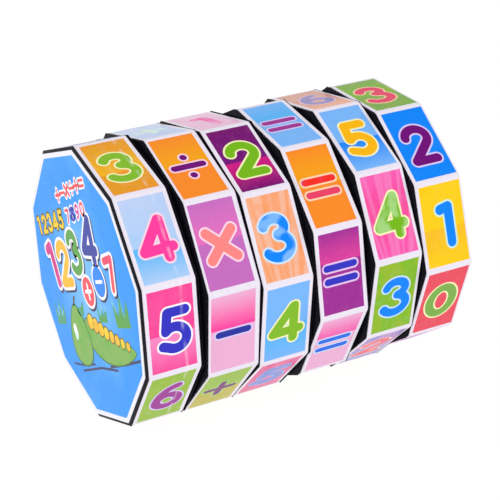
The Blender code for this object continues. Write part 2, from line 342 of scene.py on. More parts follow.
class Level:
    """A number that changes over a surface. Arithmetic on it adds Math nodes."""

    def __init__(self, finish, socket):
        self.finish = finish
        self.socket = socket

    def math(self, operation, first, second):
        return self.finish.level("ShaderNodeMath", {"operation": operation},
                                 {0: first, 1: second})

    def __add__(self, other):
        return self.math("ADD", self, other)

    def __radd__(self, other):
        return self.math("ADD", other, self)

    def __sub__(self, other):
        return self.math("SUBTRACT", self, other)

    def __rsub__(self, other):
        return self.math("SUBTRACT", other, self)

    def __mul__(self, other):
        return self.math("MULTIPLY", self, other)

    def __truediv__(self, other):
        return self.math("DIVIDE", self, other)

    def __pow__(self, other):
        return self.math("POWER", self, other)

    def __abs__(self):
        return self.math("ABSOLUTE", self, 0.0)

    def clamped(self):
        """The number kept between 0 and 1."""
        return self.math("MINIMUM", self.math("MAXIMUM", self, 0.0), 1.0)

    def rise(self, low, high):
        """0 below low and 1 above high, with a smooth step between."""
        return self.finish.level("ShaderNodeMapRange", {"interpolation_type": "SMOOTHSTEP"},
                                 {"Value": self, "From Min": low, "From Max": high})


class Finish:
    """A Principled material whose node tree is written as expressions."""

    def __init__(self, name):
        self.material = bpy.data.materials.new(name)
        self.material.use_nodes = True
        self.tree = self.material.node_tree
        self.shader = self.tree.nodes["Principled BSDF"]

    def node(self, kind, settings=None, sockets=None):
        """A node of one kind, its settings made first, then its sockets set or linked."""
        made = self.tree.nodes.new(kind)
        for key, value in (settings or {}).items():
            setattr(made, key, value)
        for key, value in (sockets or {}).items():
            self.feed(made.inputs[key], value)
        return made

    def feed(self, socket, value):
        """Set a socket to a value, or link it."""
        if isinstance(value, Level):
            value = value.socket
        if isinstance(value, bpy.types.NodeSocket):
            self.tree.links.new(value, socket)
        else:
            socket.default_value = value

    def level(self, kind, settings=None, sockets=None):
        """A node's first output, as a number to calculate with."""
        return Level(self, self.node(kind, settings, sockets).outputs[0])

    def set(self, **values):
        """Set or link the shader's own sockets, their names written with underscores."""
        for key, value in values.items():
            self.feed(self.shader.inputs[key.replace("_", " ")], value)

    def place(self):
        """The surface's own place, in millimetres."""
        own = self.node("ShaderNodeTexCoord").outputs["Object"]
        return self.scaled(own, (1000, 1000, 1000))

    def scaled(self, vector, scale):
        """A vector stretched by three factors."""
        return self.node("ShaderNodeVectorMath", {"operation": "MULTIPLY"},
                         {0: vector, 1: scale}).outputs[0]

    def parts(self, vector):
        """A vector's three numbers."""
        split = self.node("ShaderNodeSeparateXYZ", None, {0: vector})
        return [Level(self, out) for out in split.outputs]

    def noise(self, vector, scale, detail=2.0, roughness=0.5):
        """Cloudy noise from 0 to 1."""
        return self.level("ShaderNodeTexNoise", None,
                          {"Vector": vector, "Scale": scale, "Detail": detail,
                           "Roughness": roughness})

    def attribute(self, name):
        """The node that reads one of the mesh's attributes."""
        return self.node("ShaderNodeAttribute", {"attribute_name": name})

    def colour(self, name):
        """A colour attribute of the mesh."""
        return self.attribute(name).outputs["Color"]

    def mix(self, share, first, second, blend="MIX"):
        """A colour between two colours."""
        mixer = self.node("ShaderNodeMix", {"data_type": "RGBA", "blend_type": blend})
        self.feed(mixer.inputs[0], share)
        self.feed(mixer.inputs[6], first)
        self.feed(mixer.inputs[7], second)
        return mixer.outputs[2]

    def shade(self, colour, level):
        """A colour made lighter or darker by a level near 1."""
        grey = self.node("ShaderNodeCombineXYZ", None, {0: level, 1: level, 2: level})
        return self.node("ShaderNodeVectorMath", {"operation": "MULTIPLY"},
                         {0: colour, 1: grey.outputs[0]}).outputs[0]

    def bump(self, height, distance, strength):
        """Fine relief, its distance in metres."""
        made = self.node("ShaderNodeBump", None,
                         {"Strength": strength, "Distance": distance, "Height": height})
        self.set(Normal=made.outputs[0])


# ---- Finishes --------------------------------------------------------------------------

# Where the crease in the first label's film lies along the axis, and where the rays of a
# printed ground meet, from its panel's middle.
CREASE_X_MM = -31.6
RAY_MEET_MM = (-1.5, -26.0)


def laminate(finish, place):
    """Clear film over a print: glossy, faintly rippled, with finger marks."""
    ripple = finish.noise(finish.scaled(place, (0.35, 0.12, 0.12)), 1.0, 2.0)
    grain = finish.noise(place, 2.2, 2.0)
    marks = finish.noise(place, 0.16, 3.0).rise(0.45, 0.7)
    finish.set(Roughness=0.22 + marks * 0.10 + grain * 0.05, Coat_Weight=0.03,
               Coat_Roughness=0.08, Specular_IOR_Level=0.10)
    finish.bump(ripple + grain * 0.05, 0.00012, 0.5)


def black_plastic():
    """Moulded black styrene: satin, with flow marks and scuffed edges."""
    finish = Finish("moulded_black_plastic")
    place = finish.place()
    flow = finish.noise(finish.scaled(place, (0.5, 0.15, 0.15)), 1.0, 3.0)
    grain = finish.noise(place, 9.0, 2.0)
    scuff = finish.noise(place, 1.7, 4.0, 0.6).rise(0.60, 0.74)
    black = solid(settings().plastics.black)
    worn = solid(paint(50, 50, 62))
    finish.set(Base_Color=finish.mix(scuff * 0.5 + flow * 0.12, black, worn),
               Roughness=0.28 + flow * 0.14 + scuff * 0.12, Specular_IOR_Level=0.03)
    finish.bump(grain * 0.4 + flow * 0.6, 0.00004, 0.5)
    return finish.material


def film_crease(finish, place, colour):
    """The narrow milky line of a crease that runs round the first ring in its film."""
    x, _, _ = finish.parts(place)
    wander = finish.noise(finish.scaled(place, (0, 0.05, 0.05)), 1.0, 1.0) * 2.4 - 1.2
    crease = 1.0 - abs(x - CREASE_X_MM + wander).rise(0.05, 0.55)
    patchy = finish.noise(finish.scaled(place, (0.3, 1.0, 1.0)), 0.35, 2.0).rise(0.38, 0.6)
    return finish.mix(crease * patchy * 0.24, colour, ink("white"))


def printed_label():
    """Paper wrap: a white margin and a coloured ground with its horizon on every panel."""
    finish = Finish("printed_wrap_label")
    label = settings().label
    place = finish.place()
    across, up, _ = finish.parts(finish.node("ShaderNodeUVMap", {"uv_map": "panel_mm"})
                                 .outputs[0])
    horizon, blotch, rays = finish.parts(finish.attribute("ground_style").outputs["Vector"])
    shift, wider, _ = finish.parts(finish.attribute("print_place").outputs["Vector"])
    half_wide = wider * 0.5 + label.print_width / MM / 2
    half_high = label.print_height / MM / 2
    wobble = finish.noise(place, 1.4, 1.0) * 0.10 - 0.05
    inside = (half_wide - abs(across - shift) + wobble).rise(-0.05, 0.05)
    inside = inside * (half_high - abs(up) + wobble).rise(-0.05, 0.05)

    drift = finish.noise(place, 0.22, 1.0) * 1.2 - 0.6
    height = up - horizon + drift * blotch
    above = (height / (half_high - horizon)).clamped()
    below = (0.0 - height / (half_high + horizon)).clamped()
    high = finish.mix(above ** 1.2, finish.colour("ground_above"),
                      finish.colour("ground_top"))
    low = finish.mix(below ** 1.2, finish.colour("ground_below"),
                     finish.colour("ground_bottom"))
    ground = finish.mix(height.rise(-0.12, 0.12), low, high)

    wash = finish.noise(place, 0.55, 3.0, 0.6)
    pale_wash = wash.rise(0.50, 0.66) * blotch * 0.10
    warm_wash = finish.noise(place, 0.26, 1.0).rise(0.50, 0.60) * blotch * 0.34
    fan = finish.level("ShaderNodeMath", {"operation": "ARCTAN2"},
                       {0: across - RAY_MEET_MM[0], 1: up - RAY_MEET_MM[1]})
    beams = finish.level("ShaderNodeTexNoise", {"noise_dimensions": "1D"},
                         {"W": fan * 16.0, "Scale": 1.0, "Detail": 0.0}).rise(0.42, 0.56)
    ground = finish.mix(pale_wash, ground, finish.mix(0.55, ground, ink("white")))
    ground = finish.mix(warm_wash, ground, finish.colour("ground_warm"))
    ground = finish.mix(beams * rays * 0.55, ground, finish.colour("ground_ray"))

    fibre = finish.noise(finish.scaled(place, (3.0, 1.0, 1.0)), 1.2, 3.0, 0.6)
    paper = finish.shade(tuple(settings().plastics.paper), 0.95 + fibre * 0.10)
    whole = finish.mix(inside, paper, ground)
    finish.set(Base_Color=film_crease(finish, place,
                                      finish.shade(whole, 0.96 + fibre * 0.08)))
    laminate(finish, place)
    return finish.material


def printed_ink():
    """Ink of the signs and of the stickers' pictures, two-tone where a sign is."""
    finish = Finish("printed_ink")
    place = finish.place()
    cloud = finish.noise(place, 0.26, 1.0).rise(0.42, 0.56)
    fibre = finish.noise(place, 1.2, 3.0, 0.6)
    colour = finish.mix(cloud, finish.colour("ink"), finish.colour("second_ink"))
    finish.set(Base_Color=film_crease(finish, place,
                                      finish.shade(colour, 0.96 + fibre * 0.08)))
    laminate(finish, place)
    return finish.material


def sticker_print():
    """End sticker: white border, and a blue ground that is lighter in its middle."""
    finish = Finish("printed_end_sticker")
    place = finish.place()
    printed = finish.attribute("printed").outputs["Fac"]
    _, y, z = finish.parts(place)
    out = (y * y + z * z) ** 0.5 / 30.0
    cloud = finish.noise(place, 0.09, 2.0)
    centre = (1.0 - out).rise(0.15, 0.95) * 0.75 + (cloud - 0.5) * 0.7
    blue = finish.mix(centre.clamped(), solid(paint(20, 150, 252)),
                      solid(paint(126, 200, 255)))
    fibre = finish.noise(place, 1.1, 3.0, 0.6)
    paper = solid(paint(240, 238, 246))
    whole = finish.mix(printed, paper, blue)
    finish.set(Base_Color=finish.shade(whole, 0.96 + fibre * 0.08))
    laminate(finish, place)
    return finish.material


def spindle_plastic():
    """Milky moulded plastic with a faint grain."""
    finish = Finish("milky_spindle_plastic")
    place = finish.place()
    cloud = finish.noise(place, 0.4, 3.0)
    grain = finish.noise(place, 6.0, 2.0)
    white = solid(settings().plastics.spindle)
    finish.set(Base_Color=finish.mix(cloud, white, solid(paint(206, 205, 202))),
               Roughness=0.40 + cloud * 0.15)
    finish.bump(grain, 0.00003, 0.4)
    return finish.material


def turned_steel():
    """Zinc-plated steel with turning marks round the axis."""
    finish = Finish("plated_steel")
    place = finish.place()
    _, y, z = finish.parts(place)
    out = (y * y + z * z) ** 0.5
    rings = finish.level("ShaderNodeTexNoise", {"noise_dimensions": "1D"},
                         {"W": out * 6.0, "Scale": 2.0, "Detail": 2.0})
    stain = finish.noise(place, 0.8, 3.0)
    steel = solid(settings().plastics.steel)
    finish.set(Base_Color=finish.mix(stain, steel, solid(paint(168, 166, 160))),
               Metallic=1.0, Roughness=0.22 + rings * 0.14 + stain * 0.08)
    finish.bump(rings, 0.00002, 0.5)
    return finish.material


def finish_named(name, maker):
    """A finish that several pieces share."""
    return bpy.data.materials.get(name) or maker()


def wear(piece, material):
    """Give a piece one finish."""
    piece.data.materials.clear()
    piece.data.materials.append(material)


# ---- Modelling helpers -----------------------------------------------------------------

def only(piece):
    """Select one piece and nothing else."""
    bpy.ops.object.select_all(action="DESELECT")
    piece.select_set(True)
    bpy.context.view_layer.objects.active = piece


def started(name):
    """Name the primitive that was just added, and settle its place into its mesh."""
    piece = bpy.context.object
    piece.name = name
    piece.data.name = name
    only(piece)
    bpy.ops.object.transform_apply(location=True, rotation=True, scale=True)
    return piece


class Editing:
    """Edit mode on one piece."""

    def __init__(self, piece):
        self.piece = piece

    def __enter__(self):
        only(self.piece)
        bpy.ops.object.mode_set(mode="EDIT")
        return self

    def __exit__(self, *_):
        bpy.ops.object.mode_set(mode="OBJECT")

    def pick(self, kind, wanted):
        """Select the faces or the edges that wanted says yes to; it has to find some."""
        bpy.ops.mesh.select_mode(type=kind)
        bpy.ops.mesh.select_all(action="DESELECT")
        shape = bmesh.from_edit_mesh(self.piece.data)
        shape.normal_update()
        found = [e for e in (shape.faces if kind == "FACE" else shape.edges) if wanted(e)]
        if not found:
            raise RuntimeError(f"{self.piece.name}: nothing to pick")
        for element in found:
            element.select_set(True)
        shape.select_flush_mode()
        bmesh.update_edit_mesh(self.piece.data)


def tidy(piece, merge=1e-7):
    """Merge doubles and turn every face outwards."""
    with Editing(piece):
        bpy.ops.mesh.select_all(action="SELECT")
        bpy.ops.mesh.remove_doubles(threshold=merge)
        bpy.ops.mesh.normals_make_consistent(inside=False)


def combine(piece, other, operation):
    """Join a second shape to a piece, or cut it out of the piece."""
    change = piece.modifiers.new("combine", "BOOLEAN")
    change.operation = operation
    change.object = other
    change.solver = "EXACT"
    only(piece)
    bpy.ops.object.modifier_apply(modifier=change.name)
    if not piece.data.polygons:
        raise RuntimeError(f"{piece.name}: nothing left after {operation}")
    bpy.data.objects.remove(other)


def copy_of(piece, name, matrix):
    """A copy with its own mesh, put in place by a matrix."""
    mesh = piece.data.copy()
    mesh.name = name
    mesh.transform(matrix)
    made = bpy.data.objects.new(name, mesh)
    bpy.context.scene.collection.objects.link(made)
    return made


def joined(name, pieces):
    """One piece out of several."""
    bpy.ops.object.select_all(action="DESELECT")
    for piece in pieces:
        piece.select_set(True)
    bpy.context.view_layer.objects.active = pieces[0]
    if len(pieces) > 1:
        bpy.ops.object.join()
    made = bpy.context.view_layer.objects.active
    made.name = name
    made.data.name = name
    return made


def cylinder(name, vertices, radius, low, high, fill="NGON"):
    """A cylinder along Z from low to high, a corner pointing to +Y."""
    bpy.ops.object.select_all(action="DESELECT")
    bpy.ops.mesh.primitive_cylinder_add(vertices=vertices, radius=radius, depth=high - low,
                                        end_fill_type=fill,
                                        location=(0, 0, (low + high) / 2))
    return started(name)


def paint_faces(piece, name, colour):
    """Give every face one colour attribute."""
    layer = piece.data.attributes.new(name, "FLOAT_COLOR", "FACE")
    for entry in layer.data:
        entry.color = colour


# ---- Places read from the frame --------------------------------------------------------

def corner_radius(node):
    """From the axis to a ten-sided node's corners."""
    return max(math.hypot(v.co.y, v.co.z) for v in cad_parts[node].data.vertices)


def flat_radius(node):
    """From the axis to a ten-sided node's flats."""
    return corner_radius(node) * math.cos(HALF_STEP)


def ring_turn(node):
    """Angle from straight up to a ring's topmost corner, positive towards +Y."""
    far = corner_radius(node) - NEAR
    corners = [math.atan2(v.co.y, v.co.z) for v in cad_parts[node].data.vertices
               if math.hypot(v.co.y, v.co.z) > far]
    return min(corners, key=abs)


def along(angle):
    """The direction at an angle from straight up towards +Y, and the one 90 degrees on."""
    return (Vector((0, math.sin(angle), math.cos(angle))),
            Vector((0, math.cos(angle), -math.sin(angle))))


def matrix_of(right, up, out, origin):
    """A matrix that puts X, Y and Z along three directions."""
    made = Matrix((right, up, out)).transposed().to_4x4()
    made.translation = origin
    return made


def ring_place(node):
    """Puts a piece modelled along +Z, a corner at +Y, on a ring's left face."""
    up, side = along(ring_turn(node))
    return matrix_of(side, up, Vector((1, 0, 0)), Vector((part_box(node)[0].x, 0, 0)))


def panel_angle(ring, panel):
    """Angle of a panel's middle; panel 0 is the first below the topmost corner."""
    return ring_turn(RINGS[ring]) - HALF_STEP - STEP * panel


def panel_place(ring, panel, out):
    """Puts a flat drawing on a panel, at a distance out from the axis."""
    low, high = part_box(WRAPS[ring])
    away, up = along(panel_angle(ring, panel))
    middle = Vector(((low.x + high.x) / 2, 0, 0)) + away * out
    return matrix_of(Vector((1, 0, 0)), up, away, middle)


def body_of_ring(ring):
    """The body that a ring's pieces ride on."""
    return ROOT_BODY if ring == 0 else f"ring_{ring + 1}_body"


# ---- Signs -----------------------------------------------------------------------------

def arc(x, y, wide, high, start, end, steps=20):
    """Points on an ellipse round (x, y), from one angle in degrees to another."""
    turns = [math.radians(start + (end - start) * i / steps) for i in range(steps + 1)]
    return [(x + wide * math.cos(turn), y + high * math.sin(turn)) for turn in turns]


def oval(x, y, wide, high):
    """A whole ellipse, as two half arcs that overlap a little."""
    return arc(x, y, wide, high, 0, 190), arc(x, y, wide, high, 180, 370)


# Each sign's half stroke and its strokes' middle lines, in mm from the sign's middle.
SIGNS = {
    "0": (1.12, [*oval(0, 0, 3.05, 4.05)]),
    "1": (1.16, [[(1.05, 4.0), (1.05, -4.05)], [(1.05, 4.0), (-1.1, 3.6)]]),
    "2": (1.08, [arc(0.0, 1.75, 2.75, 2.35, 172, -38), [(2.17, 0.3), (-2.7, -4.2)],
                 [(-2.75, -4.25), (2.75, -4.25)]]),
    "3": (1.08, [arc(-0.45, 2.3, 2.45, 1.85, 165, -75), arc(-0.4, -1.85, 3.0, 2.35, 75, -150)]),
    "4": (1.08, [[(1.55, 3.95), (-3.2, -2.3)], [(-3.2, -2.35), (3.2, -2.1)],
                 [(1.75, 3.95), (1.75, -4.2)]]),
    "5": (1.08, [[(-1.3, 4.05), (2.7, 4.05)], [(-1.35, 4.0), (-1.85, 0.25)],
                 arc(0.1, -1.75, 2.65, 2.45, 138, -125), [(-1.42, -3.76), (-2.65, -3.3)]]),
    "6": (1.08, [*oval(0.1, -1.75, 2.6, 2.4), arc(2.2, -1.75, 4.7, 5.95, 98, 180)]),
    "7": (1.08, [[(-2.8, 4.05), (2.8, 4.05)], [(2.8, 4.05), (-0.6, -4.1)]]),
    "8": (1.05, [*oval(0, 2.15, 2.3, 1.95), *oval(0, -1.95, 2.75, 2.25)]),
    "9": (1.08, [*oval(-0.1, 1.75, 2.6, 2.4), arc(-2.2, 1.75, 4.7, 5.95, -82, 0)]),
    "plus": (0.85, [[(-3.2, 0), (3.2, 0)], [(0, 3.1), (0, -3.1)]]),
    "minus": (0.78, [[(-3.45, 0), (3.45, 0)]]),
    "times": (1.06, [[(-2.95, 2.9), (2.95, -2.9)], [(2.95, 2.9), (-2.95, -2.9)]]),
    "divide": (0.82, [[(-3.3, 0), (3.3, 0)], [(-0.01, 2.8), (0.01, 2.8)],
                      [(-0.01, -2.8), (0.01, -2.8)]]),
    "equals": (0.76, [[(-3.45, 1.53), (3.45, 1.53)], [(-3.45, -1.53), (3.45, -1.53)]]),
}


def bend_at(before, here, after):
    """How tightly a line bends at a point: 1 over its radius, positive to the left."""
    a, b, c = Vector(before), Vector(here), Vector(after)
    area = (b - a).cross(c - b)
    return 2 * area / max((b - a).length * (c - b).length * (c - a).length, 1e-9)


def stroke_edge(points, half, cap_steps):
    """The closed edge of a stroke with round ends, drawn along a line of points."""
    last = len(points) - 1
    left, right = [], []
    for i, point in enumerate(points):
        way = (Vector(points[min(i + 1, last)]) - Vector(points[max(i - 1, 0)])).normalized()
        side = Vector((-way.y, way.x))
        bend = bend_at(points[i - 1], point, points[i + 1]) if 0 < i < last else 0.0
        reach = 0.9 / abs(bend) if abs(bend) > 1e-6 else half
        left.append(Vector(point) + side * (min(half, reach) if bend > 0 else half))
        right.append(Vector(point) - side * (min(half, reach) if bend < 0 else half))

    def cap(middle, start):
        centre = Vector(middle)
        turn = start - centre
        return [centre + Matrix.Rotation(-math.pi * i / cap_steps, 2) @ turn
                for i in range(1, cap_steps)]

    return left + cap(points[-1], left[-1]) + right[::-1] + cap(points[0], right[0])


def flat_plate(name, edge, thick):
    """A thin plate inside a closed edge, lying on z = 0, made from a flat filled curve."""
    line = bpy.data.curves.new(name, "CURVE")
    line.dimensions = "2D"
    line.fill_mode = "BOTH"
    line.extrude = thick / 2
    spline = line.splines.new("POLY")
    spline.points.add(len(edge) - 1)
    spline.use_cyclic_u = True
    for point, place in zip(spline.points, edge):
        point.co = (place[0], place[1], 0, 1)
    drawn = bpy.data.objects.new(name, line)
    bpy.context.scene.collection.objects.link(drawn)
    only(drawn)
    bpy.ops.object.convert(target="MESH")
    plate = bpy.context.object
    plate.data.transform(Matrix.Translation((0, 0, thick / 2)))
    tidy(plate, 1e-4)
    return plate


def sign_plate(sign, grow, thick):
    """A sign as one flat plate in mm, its strokes grown by a width and joined."""
    half, strokes = SIGNS[sign]
    steps = settings().cap_steps
    plates = [flat_plate(f"sign_{sign}", stroke_edge(line, half + grow, steps), thick)
              for line in strokes]
    whole = plates[0]
    for plate in plates[1:]:
        combine(whole, plate, "UNION")
    with Editing(whole):
        bpy.ops.mesh.select_all(action="SELECT")
        bpy.ops.mesh.dissolve_limited(angle_limit=math.radians(0.5))
    return whole


class SignCase:
    """The signs drawn once each, and kept to be copied."""

    def __init__(self, grow, thick):
        self.grow = grow
        self.thick = thick
        self.plates = {}

    def copy(self, sign, matrix, first, second=None):
        """A coloured copy of a sign, its drawing's mm turned to metres by the matrix."""
        if sign not in self.plates:
            self.plates[sign] = sign_plate(sign, self.grow, self.thick)
        made = copy_of(self.plates[sign], "sign", matrix @ Matrix.Scale(MM, 4))
        paint_faces(made, "ink", ink(first))
        paint_faces(made, "second_ink", ink(second or first))
        if sign == "equals" and second:
            inks = made.data.attributes["ink"].data
            for face, plain in zip(made.data.polygons, self.plates[sign].data.polygons):
                if plain.center.y < 0:
                    inks[face.index].color = ink(second)
        return made

    def clear(self):
        for plate in self.plates.values():
            bpy.data.objects.remove(plate)
        self.plates = {}


# ---- Rings -----------------------------------------------------------------------------

def radius_of(face):
    """From the axis to a face's middle, on a piece that still stands along Z."""
    return face.calc_center_median().xy.length


def ring_shell(node, right_rim=True):
    """A moulded cup along +Z: body, hub, bore and the seat of the spindle's head.

    Without its right rim, the label reaches the cup's mouth.
    """
    size = settings().moulding
    corner = corner_radius(node)
    low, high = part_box(node)
    wide = high.x - low.x
    shell = cylinder("ring_shell", SIDES, corner, 0, wide)
    outside = corner * math.cos(HALF_STEP) * 0.98
    with Editing(shell) as editing:
        editing.pick("FACE", lambda face: face.normal.z > 0.9)
        bpy.ops.mesh.inset(thickness=size.wall + size.recess, use_even_offset=True)
        bpy.ops.mesh.extrude_region_move(
            TRANSFORM_OT_translate={"value": (0, 0, size.web - wide)})
        editing.pick("FACE", lambda face: abs(face.normal.z) < 0.1
                     and radius_of(face) > outside)
        bpy.ops.mesh.inset(thickness=size.rim, use_boundary=True, use_even_offset=True)
        bpy.ops.mesh.extrude_region_shrink_fatten(
            TRANSFORM_OT_shrink_fatten={"value": -size.recess, "use_even_offset": True})
    hub = cylinder("hub", 64, size.hub_radius, 0, size.hub_length)
    combine(shell, hub, "UNION")
    bore = cylinder("bore", 64, size.bore_radius, -MM, size.hub_length + MM)
    combine(shell, bore, "DIFFERENCE")
    seat = cylinder("seat", 64, size.seat_radius, -MM, size.seat_depth)
    combine(shell, seat, "DIFFERENCE")

    def at_side(edge):
        heights = [vert.co.z for vert in edge.verts]
        return max(heights) < NEAR or min(heights) > wide - NEAR

    def radius(edge):
        return min(vert.co.xy.length for vert in edge.verts)

    if not right_rim:
        with Editing(shell) as editing:
            editing.pick("FACE", lambda face: face.calc_center_median().z > wide - size.rim
                         and abs(face.normal.z) < 0.1 and radius_of(face) > outside)
            shrink = 1 - size.recess / (corner * math.cos(HALF_STEP))
            bpy.ops.transform.resize(value=(shrink, shrink, 1),
                                     center_override=(0, 0, wide))
            bpy.ops.mesh.select_all(action="SELECT")
            bpy.ops.mesh.remove_doubles(threshold=1e-6)
    with Editing(shell) as editing:
        editing.pick("EDGE", lambda edge: at_side(edge) and radius(edge) > corner * 0.985)
        bpy.ops.mesh.bevel(offset=size.edge_round, segments=2)
        editing.pick("EDGE", lambda edge: at_side(edge) and edge.verts[0].co.z > MM
                     and corner * 0.9 < radius(edge) < corner * 0.97)
        bpy.ops.mesh.bevel(offset=size.mouth_round, segments=3)
    return shell


def cut_key_slots(shell):
    """Two slots in the first ring for the keys under the spindle's head."""
    size = settings().moulding
    inner = size.bore_radius / 2
    for side in (-1, 1):
        bpy.ops.object.select_all(action="DESELECT")
        bpy.ops.mesh.primitive_cube_add(
            size=1.0, location=(0, side * (inner + size.key_reach) / 2, size.key_depth / 2),
            scale=(size.key_width, size.key_reach - inner, size.key_depth))
        combine(shell, started("key_slot"), "DIFFERENCE")


class PUZZLE_OT_ring_shells(bpy.types.Operator):
    """Model the moulded ring once, and copy it to the six places"""
    bl_idname = "puzzle.ring_shells"
    bl_label = "Ring shells"

    def execute(self, context):
        plastic = finish_named("moulded_black_plastic", black_plastic)
        master = ring_shell(RINGS[1])
        for ring, node in enumerate(RINGS):
            shell = (ring_shell(node, right_rim=False) if ring == len(RINGS) - 1
                     else copy_of(master, "shell", Matrix.Identity(4)))
            shell.name = shell.data.name = f"shell_{node}"
            if ring == 0:
                cut_key_slots(shell)
            shell.data.transform(ring_place(node))
            wear(shell, plastic)
            only(shell)
            bpy.ops.object.shade_smooth_by_angle(angle=math.radians(30))
            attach(shell, body_of_ring(ring))
            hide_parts(node)
        bpy.data.objects.remove(master)
        return {"FINISHED"}


# ---- Wrap labels -----------------------------------------------------------------------

def label_band(ring):
    """The paper band round one ring, its folds rounded."""
    size = settings().label
    node = WRAPS[ring]
    low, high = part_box(node)
    outside = (flat_radius(node) - size.sunk) / math.cos(HALF_STEP)
    wide = high.x - low.x
    if ring == len(RINGS) - 1:
        wide += settings().moulding.rim
    band = cylinder(f"label_{node[5:]}", SIDES, outside, 0, wide, fill="NOTHING")
    with Editing(band) as editing:
        editing.pick("EDGE", lambda edge: abs(edge.verts[0].co.z - edge.verts[1].co.z) > MM)
        bpy.ops.mesh.bevel(offset=size.fold_round, segments=4, clamp_overlap=True)
    paper = band.modifiers.new("paper", "SOLIDIFY")
    paper.thickness = size.thickness
    paper.offset = -1
    paper.use_even_offset = True
    only(band)
    bpy.ops.object.modifier_apply(modifier=paper.name)
    place = ring_place(RINGS[ring])
    place.translation.x = low.x
    band.data.transform(place)
    return band


# How far each ring's coloured panels sit off the middle, and how much wider they are.
PRINT_MM = ((0.0, 0.0), (-0.25, 0.2), (0.1, 0.0), (0.0, -0.1), (0.15, 0.1), (0.3, 0.6))

# The colour that a ground's blotches turn to, and that of its rays, by its top colour.
WARM = {"fire": "orange", "leaf": "mustard", "grass": "mustard", "moss": "leaf",
        "cerise": "rose", "apricot": "orange", "clay": "apricot", "rose": "candy",
        "periwinkle": "pale_pink", "sunflower": "amber", "grape": "violet"}
RAY = {"apricot": "orange", "rose": "candy", "cerise": "candy", "fire": "orange",
       "periwinkle": "salmon"}


def print_grounds(band, ring):
    """Give every face its panel's colours, and every corner its place on the panel."""
    mesh = band.data
    low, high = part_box(WRAPS[ring])
    middle = (low.x + high.x) / 2
    names = ("ground_top", "ground_above", "ground_below", "ground_bottom",
             "ground_warm", "ground_ray")
    for name in names:
        mesh.attributes.new(name, "FLOAT_COLOR", "FACE")
    mesh.attributes.new("ground_style", "FLOAT_VECTOR", "FACE")
    mesh.uv_layers.new(name="panel_mm")
    mesh.attributes.new("print_place", "FLOAT_VECTOR", "FACE")
    style = mesh.attributes["ground_style"]
    print_place = mesh.attributes["print_place"]
    places = mesh.uv_layers["panel_mm"]
    turn = ring_turn(RINGS[ring])
    for face in mesh.polygons:
        angle = math.atan2(face.center.y, face.center.z)
        panel = round((turn - HALF_STEP - angle) / STEP) % SIDES
        top, above, below, bottom, horizon, blotch, rays = GROUNDS[PANELS[ring][panel][4]]
        tones = (top, above, below, bottom, WARM.get(top, below), RAY.get(top, "white"))
        for name, tone in zip(names, tones):
            mesh.attributes[name].data[face.index].color = ink(tone)
        style.data[face.index].vector = (horizon, blotch, rays)
        print_place.data[face.index].vector = (*PRINT_MM[ring], 0)
        up = along(panel_angle(ring, panel))[1]
        for corner in face.loop_indices:
            point = mesh.vertices[mesh.loops[corner].vertex_index].co
            places.data[corner].uv = ((point.x - middle) / MM, point.dot(up) / MM)


class PUZZLE_OT_wrap_labels(bpy.types.Operator):
    """Fold a printed label round each ring"""
    bl_idname = "puzzle.wrap_labels"
    bl_label = "Wrap labels"

    def execute(self, context):
        material = finish_named("printed_wrap_label", printed_label)
        for ring, node in enumerate(WRAPS):
            band = label_band(ring)
            print_grounds(band, ring)
            wear(band, material)
            only(band)
            bpy.ops.object.shade_smooth_by_angle(angle=math.radians(20))
            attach(band, body_of_ring(ring))
            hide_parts(node)
        return {"FINISHED"}


# How far along the axis each ring's signs were printed off their panels' middles, how much
# further some single ones are, by ring and panel, and how far below the middle all sit.
SIGN_SHIFT_MM = (0.40, -0.15, 0.15, -0.15, 0.1, 0.4)
ODD_SHIFT_MM = {(4, 2): 0.5, (5, 1): 0.3, (4, 0): -0.15, (2, 2): -0.1}
SIGN_DROP_MM = 0.25


class PUZZLE_OT_signs(bpy.types.Operator):
    """Print the numerals and signs, each with its pale outline"""
    bl_idname = "puzzle.signs"
    bl_label = "Numerals and signs"

    def execute(self, context):
        size = settings().label
        material = finish_named("printed_ink", printed_ink)
        step = size.ink_step / MM
        layers = (("outline", SignCase(size.outline / MM, 2 * step), 3),
                  ("sign", SignCase(0.0, 3 * step), 1))
        for ring, node in enumerate(WRAPS):
            face = flat_radius(node) - size.sunk - size.ink_step
            for word, case, tone in layers:
                plates = []
                for panel, row in enumerate(PANELS[ring]):
                    across = SIGN_SHIFT_MM[ring] + ODD_SHIFT_MM.get((ring, panel), 0)
                    place = panel_place(ring, panel, face) @ Matrix.Translation(
                        Vector((across, -SIGN_DROP_MM, 0)) * MM)
                    second = row[tone + 1] if tone == 1 else None
                    plates.append(case.copy(row[0], place, row[tone], second))
                whole = joined(f"{word}s_{node[5:]}", plates)
                wear(whole, material)
                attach(whole, body_of_ring(ring))
        for _, case, _ in layers:
            case.clear()
        return {"FINISHED"}


# ---- End stickers ----------------------------------------------------------------------

